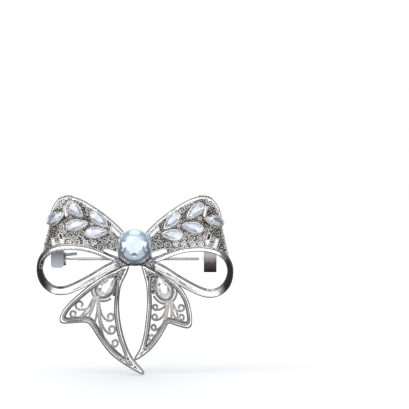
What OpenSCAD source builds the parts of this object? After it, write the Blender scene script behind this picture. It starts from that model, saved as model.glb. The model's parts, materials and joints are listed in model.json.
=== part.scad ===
// Bow brooch with a pearl knot, pierced ribbon loops, pear-cut stones,
// a swinging pin and a rotating safety catch.
// +X is the wearer's left, -Y is the front, +Z is up.
// The origin lies on the pin's axis, behind the middle of the pearl.

/* [Pearl] */
// Diameter of the pearl
pearl_d = 10; // [9.6:0.2:10.4]
// Height of the pearl's centre above the pin
pearl_z = 3.6; // [3.2:0.1:4]
// How far the pearl's centre stands in front of the pin
pearl_front = 11; // [10.9:0.1:11.6]

/* [Ribbon loops] */
// Strip width of the rings along their front rails
rail_w = 1.1; // [1:0.1:1.3]
// Strip width of the upper rings along their back rails
upper_back_w = 1.6; // [1.4:0.1:1.8]
// Strip width of the lower rings along their back rails
lower_back_w = 2.2; // [2:0.1:2.4]
// Sheet thickness of the rings
strip_t = 0.9; // [0.7:0.1:1]
// Thickness of the pierced front panels
panel_t = 0.7; // [0.5:0.1:0.9]
// How far the whole bow stands in front of the pin, beyond its own depth
standoff = 0.5; // [0.4:0.1:0.8]

/* [Tails] */
// Depth of the tail frames
tail_t = 1.5; // [1.1:0.1:1.8]
// Depth of the pierced filling in the tails
tail_fill_t = 0.8; // [0.6:0.1:1]
// How far the tails lean forward, in degrees
tail_lean = 9; // [7:0.5:11]

/* [Stones] */
// Length of a stone in the loops
stone_l = 5.6; // [5.2:0.1:5.7]
// Width of a stone in the loops
stone_w = 3.4; // [3.1:0.1:3.5]
// Length of a stone in the tails
drop_l = 6.0; // [5.6:0.1:6.2]
// Width of a stone in the tails
drop_w = 4.0; // [3.6:0.1:4.2]
// Wall of each stone setting
bezel_wall = 0.25; // [0.2:0.05:0.3]
// Height of each stone setting
bezel_h = 1.5; // [1.3:0.1:1.7]

/* [Pin] */
// Diameter of the pin's straight part
pin_d = 0.9; // [0.8:0.05:1]
// Distance from the middle to the hinge rivet
hinge_x = 20.7; // [20.4:0.1:21]
// Diameter of the hinge rivet
rivet_d = 1.0; // [0.9:0.05:1.1]
// Running clearance around the rivet, on the radius
rivet_gap = 0.04; // [0.02:0.01:0.06]

/* [Catch] */
// Inner radius of the catch housing
housing_r = 1.45; // [1.4:0.05:1.5]
// Radial clearance between the lock sleeve and its housing
lock_gap = 0.05; // [0.03:0.01:0.08]
// Half of the opening in the housing and the sleeve, in degrees
mouth = 42; // [40:1:44]

/* [Hidden] */

silver = [0.80, 0.80, 0.82];
dark_silver = [0.62, 0.62, 0.65];
crystal = [0.86, 0.90, 0.97];
pearl_blue = [0.66, 0.74, 0.82];
eps = 0.01;

// Centre line of the upper ring of the left loop, as it looks from the front: [x, z].
// The first point is at the knot, then it runs out along the front and back behind.
upper_line = [
    [-1.4, 4.7], [-3.6, 7.3], [-6.4, 10.0], [-9.5, 12.4], [-12.8, 14.5], [-15.8, 16.0],
    [-18.6, 16.5], [-20.8, 15.8], [-22.3, 13.6], [-23.0, 10.8], [-22.7, 8.3],
    [-20.9, 6.7], [-17.4, 5.6], [-12.9, 4.7], [-8.9, 3.8], [-4.2, 3.1]
];
// Its plane: z = [0] + [1] * y + [2] * x
upper_plane = [-15.14, -3.6, -0.935];

// The same for the lower ring
lower_line = [
    [-1.4, -0.9], [-4.2, -0.35], [-6.9, 0.4], [-9.7, 1.6], [-13.4, 2.8], [-18.0, 3.25],
    [-21.6, 2.8], [-24.3, 1.4], [-25.8, -0.9], [-26.1, -3.6], [-25.3, -6.3],
    [-23.3, -8.3], [-20.6, -8.95], [-17.4, -8.15], [-12.4, -5.8], [-7.6, -3.0], [-4.2, -1.6]
];
lower_plane = [-9.42, -1.62, 0.067];
// How far the left and right lower rings are turned down, in degrees
lower_drop = [0, 2];
// The two rails of a ring join into solid metal this close to the middle
upper_join_x = 2.6;
lower_join_x = 5.2;
// Where a ring widens from its front rail to its back rail, as parts of its line
upper_turn = [0.56, 0.72];
lower_turn = [0.34, 0.78];
// The panels reach this far past the rings' lines, as a part of their height
panel_lap = 0.03;

// Front panel: pairs of points, one on each ring, that its straight rulings join
panel_top = [
    [-3.2, 6.9], [-6.4, 10.0], [-9.5, 12.4], [-12.8, 14.5], [-15.8, 16.0], [-18.6, 16.5],
    [-20.8, 15.8], [-22.3, 13.6], [-22.9, 11.4]
];
panel_foot = [
    [-3.0, -0.55], [-6.9, 0.4], [-10.6, 1.95], [-14.4, 2.95], [-18.0, 3.25], [-21.6, 2.8],
    [-24.3, 1.4], [-25.6, -0.4], [-26.0, -2.2]
];

// Stones of each loop: [x, z, direction of the point in degrees]
stone_places = [
    [
        [-16.5, 13.35, -45], [-21.2, 11.0, 26], [-15.9, 9.2, 10],
        [-10.0, 10.7, -43], [-10.8, 7.2, 4]
    ],
    [
        [16.5, 12.9, 223], [21.1, 10.2, 166], [15.9, 8.5, 167],
        [10.2, 10.3, 229], [10.5, 6.5, 176]
    ]
];
// How far each of these settings stands off the panel at its middle
stone_lift = [0, 0.4, 0, 0, 0];
// Most that a setting leans with the panel, in degrees, about X and about Z
stone_lean_x = 24;
stone_lean_z = 46;
// Stones of the tails
drop_places = [[-7.9, -7.3, 47], [7.7, -7.7, 112]];

// Openings of the front panels: [x, z, length, width, direction]
panel_slots = [
    [-5.4, 7.6, 3.4, 0.9, 135], [-6.6, 1.65, 4.6, 1.8, -17], [-19.3, 13.2, 3.0, 0.8, 100],
    [-20.2, 5.6, 3.2, 1.0, 105], [-22.2, 4.0, 3.6, 0.8, 108], [-23.2, 1.6, 2.2, 0.7, 130]
];
// Round scroll eyes along the foot of the panels: from x, to x, how many
scroll_from = -11.2;
scroll_to = -18.2;
scroll_count = 4;
scroll_r = 0.65;
// Height of that row on the left and on the right
scroll_z = [4.6, 4.3];
// Size of the light hole behind a stone, as a part of the stone
light_hole = 0.62;
// Length of a raised setting's skirt, as a part of its lift
skirt_part = 1.2;

// Outlines of the tails, from the front: [x, z].
// Each tail is an outer edge, a lower lobe, a notch, a tip and an inner edge.
left_tail_outer = [
    [-2.0, -1.6], [-5.6, -3.2], [-10.5, -5.7], [-15.5, -9.6], [-19.4, -13.2], [-21.1, -16.0],
    [-21.1, -17.4], [-20.2, -17.9], [-17.0, -17.7], [-13.9, -17.6], [-12.4, -18.9],
    [-10.4, -22.2], [-7.2, -26.5], [-3.2, -29.6], [1.9, -32.3], [-1.6, -27.8],
    [-3.9, -21.6], [-4.9, -14.6], [-4.4, -8.0], [-2.6, -4.0]
];
left_tail_inner = [
    [-5.2, -4.4], [-10.0, -6.7], [-14.8, -10.4], [-18.5, -13.8], [-20.0, -16.7],
    [-16.6, -16.7], [-13.2, -16.6], [-11.3, -18.7], [-9.4, -21.9], [-6.6, -25.5],
    [-3.3, -28.2], [-3.4, -26.2], [-5.0, -21.4], [-5.9, -14.6], [-5.3, -8.2]
];
right_tail_outer = [
    [2.0, -1.6], [4.9, -3.2], [10.6, -6.0], [14.0, -10.2], [15.4, -14.2], [15.7, -17.6],
    [15.1, -19.0], [13.8, -19.1], [11.4, -18.4], [9.3, -17.8], [8.3, -19.3],
    [6.6, -22.2], [3.9, -25.6], [0.0, -28.3], [1.5, -25.4], [2.7, -20.6],
    [3.4, -13.4], [3.2, -7.4], [2.4, -4.0]
];
right_tail_inner = [
    [4.9, -4.3], [10.0, -6.9], [13.1, -10.7], [14.3, -14.2], [14.5, -17.9],
    [11.6, -17.3], [8.9, -16.8], [7.3, -19.0], [5.6, -21.8], [3.0, -24.9],
    [3.7, -20.6], [4.4, -13.4], [4.2, -7.6]
];
// Sideways tilt of each tail, in degrees
tail_tilt = [-5, 3];
tail_root = [0, -5.0, -2.0];

// Openings of the tail fillings: [x, z, radius]
left_tail_eyes = [
    [-15.6, -12.9, 1.3], [-17.4, -15.4, 1.0], [-7.3, -16.2, 1.1], [-7.0, -19.8, 1.15],
    [-6.2, -23.6, 1.0], [-12.6, -15.2, 0.8], [-9.9, -17.8, 0.7], [-9.5, -20.2, 0.6],
    [-9.9, -12.3, 0.8], [-12.7, -10.9, 0.9]
];
right_tail_eyes = [
    [5.7, -13.4, 0.8], [5.6, -16.2, 0.85], [5.3, -19.1, 0.8], [12.6, -13.6, 0.95],
    [12.7, -16.3, 0.85], [9.7, -15.6, 0.7], [4.6, -22.2, 0.8], [9.3, -12.1, 0.8]
];

// Findings
sheet = 0.6;
stem_from = 18;
stem_to = -16;
pin_tip_x = -23.2;
tang_r = 1.1;
tang_h = 0.84;
ear_gap = 1.0;
hinge_w = 3.5;
hinge_top = 2.3;
hinge_foot = -3.5;
findings_front = -8.7;
catch_x = [-22.9, -20.0];
catch_plate_x = [-23.1, -19.6];
catch_plate_z = [-2.3, 2.5];
lock_bore_r = 0.85;
lock_flange_r = 1.9;
lever_r = 0.42;
lever_from = [-19.7, -0.82, 1.07];
lever_to = [-16.35, -0.95, 1.45];

// A point between p1 and p2 on a smooth curve through four points
function curve(p0, p1, p2, p3, t) =
    0.5 * (2 * p1 + (p2 - p0) * t + (2 * p0 - 5 * p1 + 4 * p2 - p3) * t * t
    + (3 * p1 - p0 - 3 * p2 + p3) * t * t * t);

// Smooth closed curve through points, with steps points between neighbours
function closed_curve(p, steps) =
    let(n = len(p))
    [for (i = [0:n - 1], k = [0:steps - 1])
        curve(p[(i + n - 1) % n], p[i], p[(i + 1) % n], p[(i + 2) % n], k / steps)];

// Depth of a plane at a place seen from the front
function plane_y(plane, p) = (p[1] - plane[0] - plane[2] * p[0]) / plane[1];

function plane_turn(plane) = atan(-plane[2]);
function plane_rise(plane) = atan(plane[1] * cos(plane_turn(plane)));

// A place seen from the front, in the plane's own drawing coordinates
function on_sheet(plane, p) =
    let(
        b = plane_turn(plane),
        a = plane_rise(plane),
        h = p[1] - plane[0],
        along = p[0] * sin(b) + h * cos(b)
    )
    [p[0] * cos(b) - h * sin(b), plane_y(plane, p) * cos(a) + along * sin(a)];

// Unit normal of a closed drawing curve at point i
function side(p, i) =
    let(
        n = len(p),
        d = p[(i + 1) % n] - p[(i + n - 1) % n]
    )
    [d[1], -d[0]] / norm(d);

// How far a ring's outer edge stands outside its line, at the knot and at its outer end
edge_knot = 0.55;
edge_end = 1.0;
edge_end_x = 18;
function edge_out(x) = edge_knot + (edge_end - edge_knot) * min(1, abs(x) / edge_end_x);

// Strip width at point i of a ring's line, from the front rail round to the back rail
function strip_width(i, n, turn, back_w) =
    let(f = min(1, max(0, (i / n - turn[0]) / (turn[1] - turn[0]))))
    rail_w + (back_w - rail_w) * f * f * (3 - 2 * f);

module in_plane(plane) {
    translate([0, 0, plane[0]])
        rotate([plane_rise(plane), plane_turn(plane), 0])
            children();
}

// Flat ring of polished strip, cut to a closed line and laid in a plane
module strip_ring(line, plane, join_x, turn, back_w) {
    flat = closed_curve([for (p = line) on_sheet(plane, p)], 4);
    front = closed_curve(line, 4);
    n = len(flat);
    outer = [for (i = [0:n - 1]) flat[i] - side(flat, i) * edge_out(front[i][0])];
    inner = [for (i = [0:n - 1])
        if (abs(front[i][0]) > join_x)
            outer[i] + side(flat, i) * strip_width(i, n, turn, back_w)];
    in_plane(plane)
        translate([0, 0, -strip_t / 2])
            linear_extrude(strip_t)
                difference() {
                    polygon(outer);
                    polygon(inner);
                }
}

// Place on the left panel's middle surface, t along it and s from foot to top
function panel_point(t, s) =
    let(
        k = min(floor(t), len(panel_top) - 2),
        f = t - k,
        n = len(panel_top),
        top = curve(panel_top[max(k - 1, 0)], panel_top[k], panel_top[k + 1],
            panel_top[min(k + 2, n - 1)], f),
        foot = curve(panel_foot[max(k - 1, 0)], panel_foot[k], panel_foot[k + 1],
            panel_foot[min(k + 2, n - 1)], f),
        a = [top[0], plane_y(upper_plane, top), top[1]],
        b = [foot[0], plane_y(lower_plane, foot), foot[1]]
    )
    b + (a - b) * s;

function unit(v) = v / norm(v);

// Front normal of the panel
function panel_normal(t, s) =
    let(
        d = 0.05,
        last = len(panel_top) - 1,
        t0 = max(t - d, 0),
        t1 = min(t + d, last - eps),
        u = panel_point(t1, s) - panel_point(t0, s),
        v = panel_point(t, min(s + d, 1)) - panel_point(t, max(s - d, 0))
    )
    unit(cross(v, u)) * -1;

// Heights and depths of the panel's two edges, by x, for placing the stones
function edge_table(line, plane, axis) =
    [for (i = [len(line) - 1:-1:0]) [line[i][0], axis == 1 ? line[i][1] : plane_y(plane, line[i])]];
top_z = edge_table(panel_top, upper_plane, 1);
top_y = edge_table(panel_top, upper_plane, 0);
foot_z = edge_table(panel_foot, lower_plane, 1);
foot_y = edge_table(panel_foot, lower_plane, 0);

// Depth of the panel at a place seen from the front, on the left side
function panel_y(x, z) =
    let(
        z0 = lookup(x, foot_z),
        z1 = lookup(x, top_z),
        f = min(1, max(0, (z - z0) / (z1 - z0)))
    )
    lookup(x, foot_y) * (1 - f) + lookup(x, top_y) * f;

function within(v, limit) = max(-limit, min(limit, v));

// Tilt of a setting at a place on the panel: angles about X and Z
function panel_tilt(x, z) =
    let(
        d = 1.5,
        n = unit([
            (panel_y(x + d, z) - panel_y(x - d, z)) / (2 * d), -1,
            (panel_y(x, z + d) - panel_y(x, z - d)) / (2 * d)
        ]),
        about_x = -asin(n[2])
    )
    [within(about_x, stone_lean_x), 0, within(asin(n[0] / cos(about_x)), stone_lean_z)];

// Lays a drawing on the panel at [x, z], turned by angle, its face to the front
module on_panel(x, z, angle) {
    left_x = -abs(x);
    tilt = panel_tilt(left_x, z);
    translate([x, panel_y(left_x, z), z])
        rotate([tilt[0], 0, x < 0 ? tilt[2] : -tilt[2]])
            rotate([90, 0, 0])
                rotate([0, 0, angle])
                    children();
}

// Half panel solid: a sheet of even thickness on the panel's middle surface
module panel_sheet() {
    last = len(panel_top) - 1;
    nt = 26;
    ns = 6;
    function across(j) = (1 + 2 * panel_lap) * j / ns - panel_lap;
    mid = [for (i = [0:nt], j = [0:ns]) panel_point(last * i / nt, across(j))];
    nrm = [for (i = [0:nt], j = [0:ns]) panel_normal(last * i / nt, j / ns)];
    total = (nt + 1) * (ns + 1);
    pts = concat(
        [for (k = [0:total - 1]) mid[k] + nrm[k] * panel_t / 2],
        [for (k = [0:total - 1]) mid[k] - nrm[k] * panel_t / 2]);
    function at(i, j) = i * (ns + 1) + j;
    front = [for (i = [0:nt - 1], j = [0:ns - 1], h = [0, 1])
        h == 0 ? [at(i, j), at(i, j + 1), at(i + 1, j)]
            : [at(i, j + 1), at(i + 1, j + 1), at(i + 1, j)]];
    back = [for (f = front) [f[0] + total, f[2] + total, f[1] + total]];
    rim = concat(
        [for (i = [0:nt]) at(i, 0)],
        [for (j = [1:ns]) at(nt, j)],
        [for (i = [nt - 1:-1:0]) at(i, ns)],
        [for (j = [ns - 1:-1:1]) at(0, j)]);
    m = len(rim);
    walls = [for (k = [0:m - 1], h = [0, 1])
        h == 0 ? [rim[k], rim[(k + 1) % m], rim[k] + total]
            : [rim[(k + 1) % m], rim[(k + 1) % m] + total, rim[k] + total]];
    polyhedron(pts, concat(front, back, walls));
}

// Pear outline with its point on +X, centred on its length
pear_belly = 1.09;
pear_point = 0.75;
stone_sides = 20;
function pear(l, w, n) =
    [for (k = [0:n - 1]) let(a = 360 * k / n)
        [l / 2 * cos(a), w / 2 * pear_belly * sin(a) * pow(abs(sin(a / 2)), pear_point)]];

module slot(l, w) {
    square([l - w, w], center = true);
    for (end = [-1, 1])
        translate([end * (l - w) / 2, 0])
            circle(d = w, $fn = 24);
}

// Pierced panel of one loop
module filigree_panel(right) {
    cut = 8;
    places = stone_places[right];
    color(dark_silver)
        translate([0, -standoff, 0])
            difference() {
                mirror([right, 0, 0])
                    panel_sheet();
                for (p = places)
                    on_panel(p[0], p[1], p[2])
                        translate([0, 0, -cut / 2])
                            linear_extrude(cut)
                                polygon(pear(stone_l * light_hole, stone_w * light_hole, stone_sides));
                for (p = panel_slots)
                    mirror([right, 0, 0])
                        translate([p[0], 0, p[1]])
                            rotate([90, 0, 0])
                                rotate([0, 0, p[4]])
                                    linear_extrude(4 * cut, center = true)
                                        slot(p[2], p[3]);
                for (k = [0:scroll_count - 1])
                    mirror([right, 0, 0])
                        translate([scroll_from + (scroll_to - scroll_from) * k / (scroll_count - 1),
                            0, scroll_z[right]])
                            rotate([90, 0, 0])
                                cylinder(h = 4 * cut, r = scroll_r, center = true, $fn = 24);
            }
}

module upper_ring(right) {
    color(silver)
        translate([0, -standoff, 0])
            mirror([right, 0, 0])
                strip_ring(upper_line, upper_plane, upper_join_x, upper_turn, upper_back_w);
}

module lower_ring(right) {
    color(silver)
        translate([0, -standoff, 0])
            rotate([0, lower_drop[right], 0])
                mirror([right, 0, 0])
                    strip_ring(lower_line, lower_plane, lower_join_x, lower_turn, lower_back_w);
}

// Lays a front view drawing in a tail's leaning plane
module in_tail(right) {
    translate(tail_root - [0, standoff, 0])
        rotate([tail_lean, 0, tail_tilt[right]])
            rotate([90, 0, 0])
                translate([-tail_root[0], -tail_root[2], 0])
                    children();
}

module tail_frame(right) {
    outer = right == 1 ? right_tail_outer : left_tail_outer;
    inner = right == 1 ? right_tail_inner : left_tail_inner;
    color(silver)
        in_tail(right)
            linear_extrude(tail_t, center = true)
                difference() {
                    polygon(closed_curve(outer, 3));
                    polygon(closed_curve(inner, 3));
                }
}

module tail_filigree(right) {
    inner = right == 1 ? right_tail_inner : left_tail_inner;
    eyes = right == 1 ? right_tail_eyes : left_tail_eyes;
    p = drop_places[right];
    color(dark_silver)
        in_tail(right)
            difference() {
                linear_extrude(tail_fill_t, center = true)
                    polygon(closed_curve(inner, 3));
                for (e = eyes)
                    translate([e[0], e[1], 0])
                        cylinder(h = 4 * tail_t, r = e[2], center = true, $fn = 32);
                translate([p[0], p[1], 0])
                    rotate([0, 0, p[2]])
                        linear_extrude(4 * tail_t, center = true)
                            polygon(pear(drop_l * light_hole, drop_w * light_hole, stone_sides));
            }
}

// Disc and tongue behind the pearl that the loops and tails are soldered to
plate_y = -4.9;
plate_t = 0.8;
module knot_plate() {
    tongue = [5.8, 4.4];
    tongue_foot = -2.4;
    disc_r = 3.1;
    color(silver)
        translate([0, plate_y, 0])
            rotate([90, 0, 0])
                linear_extrude(plate_t)
                    union() {
                        translate([0, pearl_z])
                            circle(r = disc_r, $fn = 64);
                        translate([-tongue[0] / 2, tongue_foot])
                            square(tongue);
                    }
}

cup_t = 0.4;
cup_r = pearl_d / 2 + 0.03;
module pearl_cup() {
    rim_angle = 40;
    color(silver)
        translate([0, -pearl_front, pearl_z])
            rotate([-90, 0, 0])
                rotate_extrude($fn = 64)
                    polygon(concat(
                        [for (a = [5:5:rim_angle]) (cup_r + cup_t) * [sin(a), cos(a)]],
                        [for (a = [rim_angle:-5:5]) cup_r * [sin(a), cos(a)]]));
}

post_r = 0.45;
post_in_pearl = 3.4;
// The post is this much thinner than its hole, and reaches this far into the plate
post_gap = 0.02;
module pearl_post() {
    back = plate_y - plate_t + post_gap;
    front = -pearl_front + pearl_d / 2 - post_in_pearl;
    color(silver)
        translate([0, back, pearl_z])
            rotate([90, 0, 0])
                cylinder(h = back - front, r = post_r - post_gap, $fn = 32);
}

module pearl() {
    hole_gap = 0.05;
    color(pearl_blue)
        translate([0, -pearl_front, pearl_z])
            difference() {
                sphere(d = pearl_d, $fn = 96);
                translate([0, pearl_d, 0])
                    rotate([90, 0, 0])
                        cylinder(h = pearl_d / 2 + post_in_pearl + hole_gap,
                            r = post_r, $fn = 32);
            }
}

// Tapered wall around a stone, with an inner ledge that its lower half rests on.
// Its foot is at z = 0 and the stone's girdle near the top.
girdle_z = 1.0;
module bezel(l, w, skirt) {
    wall = 2 * bezel_wall;
    point_wall = 0.3;
    fit = 0.06;
    ledge_top = 0.55;
    ledge_part = 0.86;
    n = 32;
    color(silver)
        difference() {
            translate([0, 0, -skirt])
                linear_extrude(bezel_h + skirt)
                    polygon(pear(l + wall + point_wall, w + wall, n));
            translate([0, 0, ledge_top])
                linear_extrude(bezel_h)
                    polygon(pear(l + fit, w + fit, n));
            translate([0, 0, -skirt - eps])
                linear_extrude(bezel_h + skirt)
                    polygon(pear(l * ledge_part, w * ledge_part, n));
        }
}

// Pear-cut stone: table, crown, girdle and pavilion, as one closed solid
module stone(l, w) {
    n = stone_sides;
    // Height from the girdle, and size as a part of the outline
    profile = [[-1.45, 0.06], [-0.75, 0.56], [-0.08, 1], [0.06, 1], [0.42, 0.8], [0.66, 0.58]];
    rings = [for (r = profile) [girdle_z + r[0], r[1]]];
    m = len(rings);
    pts = [for (r = rings, p = pear(l * r[1], w * r[1], n)) [p[0], p[1], r[0]]];
    sides = [for (k = [0:m - 2], i = [0:n - 1], h = [0, 1])
        let(
            a = k * n + i,
            b = k * n + (i + 1) % n
        )
        h == 0 ? [a, a + n, b] : [b, a + n, b + n]];
    color(crystal)
        polyhedron(pts, concat(
            [[for (i = [0:n - 1]) i]],
            [[for (i = [n - 1:-1:0]) (m - 1) * n + i]],
            sides));
}

// Place of a loop stone: its foot stands on the panel's front face
module at_stone(right, k) {
    p = stone_places[right][k];
    translate([0, -standoff, 0])
        on_panel(p[0], p[1], p[2])
            translate([0, 0, panel_t / 2 + stone_lift[k]])
                children();
}

module at_drop(right) {
    p = drop_places[right];
    in_tail(right)
        translate([p[0], p[1], tail_fill_t / 2])
            rotate([0, 0, p[2]])
                children();
}

module loop_setting(right, k) {
    at_stone(right, k)
        bezel(stone_l, stone_w, skirt_part * stone_lift[k]);
}

module loop_stone(right, k) {
    at_stone(right, k)
        stone(stone_l, stone_w);
}

module tail_setting(right) {
    at_drop(right)
        bezel(drop_l, drop_w, 0);
}

module tail_stone(right) {
    at_drop(right)
        stone(drop_l, drop_w);
}

// Folded sheet box with an open back, and two ears for the rivet
box_back = -1.35;
// Clearance of the rivet in the ears, on the radius
ear_hole_gap = 0.01;
module hinge_bracket() {
    x0 = hinge_x - hinge_w / 2;
    ear_r = 1.3;
    color(silver)
        difference() {
            union() {
                difference() {
                    translate([x0, findings_front, hinge_foot])
                        cube([hinge_w, box_back - findings_front, hinge_top - hinge_foot]);
                    translate([x0 + sheet, findings_front + sheet, hinge_foot + sheet])
                        cube([hinge_w - 2 * sheet, box_back - findings_front,
                            -ear_gap / 2 - sheet - hinge_foot - sheet]);
                }
                for (z = [-ear_gap / 2 - sheet, ear_gap / 2])
                    translate([hinge_x, 0, z]) {
                        cylinder(h = sheet, r = ear_r, $fn = 48);
                        translate([-ear_r, box_back - eps, 0])
                            cube([2 * ear_r, -box_back, sheet]);
                    }
            }
            translate([hinge_x, 0, -ear_gap / 2 - 2 * sheet])
                cylinder(h = ear_gap + 4 * sheet, r = rivet_d / 2 + ear_hole_gap, $fn = 48);
        }
}

module hinge_rivet() {
    head_h = 0.3;
    head_r = 0.85;
    reach = ear_gap / 2 + sheet;
    color(silver) {
        translate([hinge_x, 0, -reach - head_h])
            cylinder(h = 2 * (reach + head_h), d = rivet_d, $fn = 48);
        for (z = [-reach - head_h, reach])
            translate([hinge_x, 0, z])
                cylinder(h = head_h, r = head_r, $fn = 48);
    }
}

// Pin with a flat eye at the rivet and a long point in the catch
module pin_stem() {
    neck_r = pin_d / 2;
    tip_r = 0.12;
    lap = 0.4;
    color(silver)
        difference() {
            union() {
                translate([hinge_x, 0, -tang_h / 2])
                    cylinder(h = tang_h, r = tang_r, $fn = 48);
                translate([stem_from - lap, -neck_r, -tang_h / 2])
                    cube([hinge_x - stem_from + lap, 2 * neck_r, tang_h]);
                translate([stem_to, 0, 0])
                    rotate([0, 90, 0])
                        cylinder(h = stem_from - stem_to, r = neck_r, $fn = 48);
                translate([pin_tip_x, 0, 0])
                    rotate([0, 90, 0])
                        cylinder(h = stem_to - pin_tip_x, r1 = tip_r, r2 = neck_r, $fn = 48);
            }
            translate([hinge_x, 0, -tang_h])
                cylinder(h = 2 * tang_h, r = rivet_d / 2 + rivet_gap, $fn = 48);
        }
}

// Split tube along X with its opening towards the back
module split_tube(x0, x1, outer_r, inner_r) {
    color(silver)
        translate([x0, 0, 0])
            rotate([0, 90, 0])
                difference() {
                    cylinder(h = x1 - x0, r = outer_r, $fn = 64);
                    translate([0, 0, -eps])
                        cylinder(h = x1 - x0 + 2 * eps, r = inner_r, $fn = 64);
                    translate([0, 0, -eps])
                        linear_extrude(x1 - x0 + 2 * eps)
                            polygon([[0, 0],
                                for (a = [-1, 0, 1])
                                    2 * outer_r * [sin(a * mouth), cos(a * mouth)]]);
                }
}

module catch_bracket() {
    shell = 0.5;
    web = 0.8;
    corner = 0.9;
    wide = catch_plate_x[1] - catch_plate_x[0];
    split_tube(catch_x[0], catch_x[1], housing_r + shell, housing_r);
    color(silver) {
        translate([catch_plate_x[0], findings_front + sheet, 0])
            rotate([90, 0, 0])
                linear_extrude(sheet) {
                    translate([0, catch_plate_z[0] + corner])
                        square([wide, catch_plate_z[1] - catch_plate_z[0] - corner]);
                    translate([corner, catch_plate_z[0]])
                        square([wide - 2 * corner, corner + eps]);
                    for (x = [corner, wide - corner])
                        translate([x, catch_plate_z[0] + corner])
                            circle(r = corner, $fn = 32);
                }
        translate([catch_x[0], findings_front + sheet - eps, -web / 2])
            cube([catch_x[1] - catch_x[0], -findings_front - sheet - housing_r - shell / 2, web]);
    }
}

// Split sleeve with a flange at its inner end and a thumb lever
module catch_lock() {
    flange_t = 0.4;
    x0 = catch_x[0] + 0.2;
    x1 = catch_x[1] + 0.1;
    x2 = x1 + flange_t;
    reach = 2 * lock_flange_r;
    lean = [lever_to[1] - lever_from[1], lever_to[2] - lever_from[2]];
    run = lever_to[0] - lever_from[0];
    color(silver) {
        difference() {
            translate([x0, 0, 0])
                rotate([0, 90, 0])
                    union() {
                        cylinder(h = x2 - x0, r = housing_r - lock_gap, $fn = 64);
                        translate([0, 0, x1 - x0])
                            cylinder(h = flange_t, r = lock_flange_r, $fn = 64);
                    }
            translate([x0 - eps, 0, 0])
                rotate([0, 90, 0])
                    cylinder(h = x2 - x0 + 2 * eps, r = lock_bore_r, $fn = 64);
            translate([x0 - eps, 0, 0])
                rotate([0, 90, 0])
                    linear_extrude(x2 - x0 + 2 * eps)
                        polygon([[0, 0],
                            for (a = [-1, 0, 1]) reach * [sin(a * mouth), cos(a * mouth)]]);
        }
        translate(lever_from)
            rotate([0, 0, atan2(lean[0], run)])
                rotate([0, 90 - atan2(lean[1], norm([run, lean[0]])), 0])
                    cylinder(h = norm(lever_to - lever_from), r = lever_r, $fn = 32);
    }
}

upper_ring(0);  // left_upper_ring
upper_ring(1);  // right_upper_ring
lower_ring(0);  // left_lower_ring
lower_ring(1);  // right_lower_ring
filigree_panel(0);  // left_filigree_panel
filigree_panel(1);  // right_filigree_panel
tail_frame(0);  // left_tail_frame
tail_frame(1);  // right_tail_frame
tail_filigree(0);  // left_tail_filigree
tail_filigree(1);  // right_tail_filigree
knot_plate();
pearl_cup();
pearl_post();
pearl();
loop_setting(0, 0);  // left_setting_1
loop_setting(0, 1);  // left_setting_2
loop_setting(0, 2);  // left_setting_3
loop_setting(0, 3);  // left_setting_4
loop_setting(0, 4);  // left_setting_5
loop_setting(1, 0);  // right_setting_1
loop_setting(1, 1);  // right_setting_2
loop_setting(1, 2);  // right_setting_3
loop_setting(1, 3);  // right_setting_4
loop_setting(1, 4);  // right_setting_5
tail_setting(0);  // left_tail_setting
tail_setting(1);  // right_tail_setting
loop_stone(0, 0);  // left_stone_1
loop_stone(0, 1);  // left_stone_2
loop_stone(0, 2);  // left_stone_3
loop_stone(0, 3);  // left_stone_4
loop_stone(0, 4);  // left_stone_5
loop_stone(1, 0);  // right_stone_1
loop_stone(1, 1);  // right_stone_2
loop_stone(1, 2);  // right_stone_3
loop_stone(1, 3);  // right_stone_4
loop_stone(1, 4);  // right_stone_5
tail_stone(0);  // left_tail_stone
tail_stone(1);  // right_tail_stone
hinge_bracket();
hinge_rivet();
pin_stem();
catch_bracket();
catch_lock();
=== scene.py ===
import json
import math
import random

import bmesh
import bpy
import numpy as np
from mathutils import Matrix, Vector


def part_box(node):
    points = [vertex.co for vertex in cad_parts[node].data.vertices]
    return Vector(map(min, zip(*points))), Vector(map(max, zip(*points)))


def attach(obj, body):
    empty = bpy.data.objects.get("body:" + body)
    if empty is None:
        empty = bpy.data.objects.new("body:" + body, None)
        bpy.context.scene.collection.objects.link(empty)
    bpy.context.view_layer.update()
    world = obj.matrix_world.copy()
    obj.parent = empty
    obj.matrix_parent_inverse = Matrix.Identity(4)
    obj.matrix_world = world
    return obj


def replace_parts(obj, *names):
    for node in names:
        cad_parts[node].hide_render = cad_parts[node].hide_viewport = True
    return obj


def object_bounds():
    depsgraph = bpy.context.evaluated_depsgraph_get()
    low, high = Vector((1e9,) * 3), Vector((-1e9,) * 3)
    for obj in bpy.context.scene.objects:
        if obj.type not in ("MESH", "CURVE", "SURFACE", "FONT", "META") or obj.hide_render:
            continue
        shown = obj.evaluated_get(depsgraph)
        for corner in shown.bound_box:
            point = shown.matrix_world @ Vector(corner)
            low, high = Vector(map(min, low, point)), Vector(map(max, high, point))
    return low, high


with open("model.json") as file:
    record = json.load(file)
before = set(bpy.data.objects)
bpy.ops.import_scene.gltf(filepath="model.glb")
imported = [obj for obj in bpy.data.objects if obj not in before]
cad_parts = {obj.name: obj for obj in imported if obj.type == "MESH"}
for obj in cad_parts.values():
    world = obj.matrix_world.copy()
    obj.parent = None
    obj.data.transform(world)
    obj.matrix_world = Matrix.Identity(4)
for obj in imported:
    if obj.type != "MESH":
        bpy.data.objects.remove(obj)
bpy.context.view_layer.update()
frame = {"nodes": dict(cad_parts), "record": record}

MM = 0.001
BEAD = 0.2               # radius of a bead, in millimetres like the other sizes
WIRE_R = 0.15            # radius of a plain wire
LINE_STEP = 0.2          # spacing of points along an outline
SHORTEST_RIM = 1.5       # outlines shorter than this are left out
FOLD = 45                # a sheet's face ends where it folds by more degrees than this
SHEET_STEP = 0.4         # grid of a sheet's fitted depth
SHEET_REACH = 1.5        # how far that fit looks round a place
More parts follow.
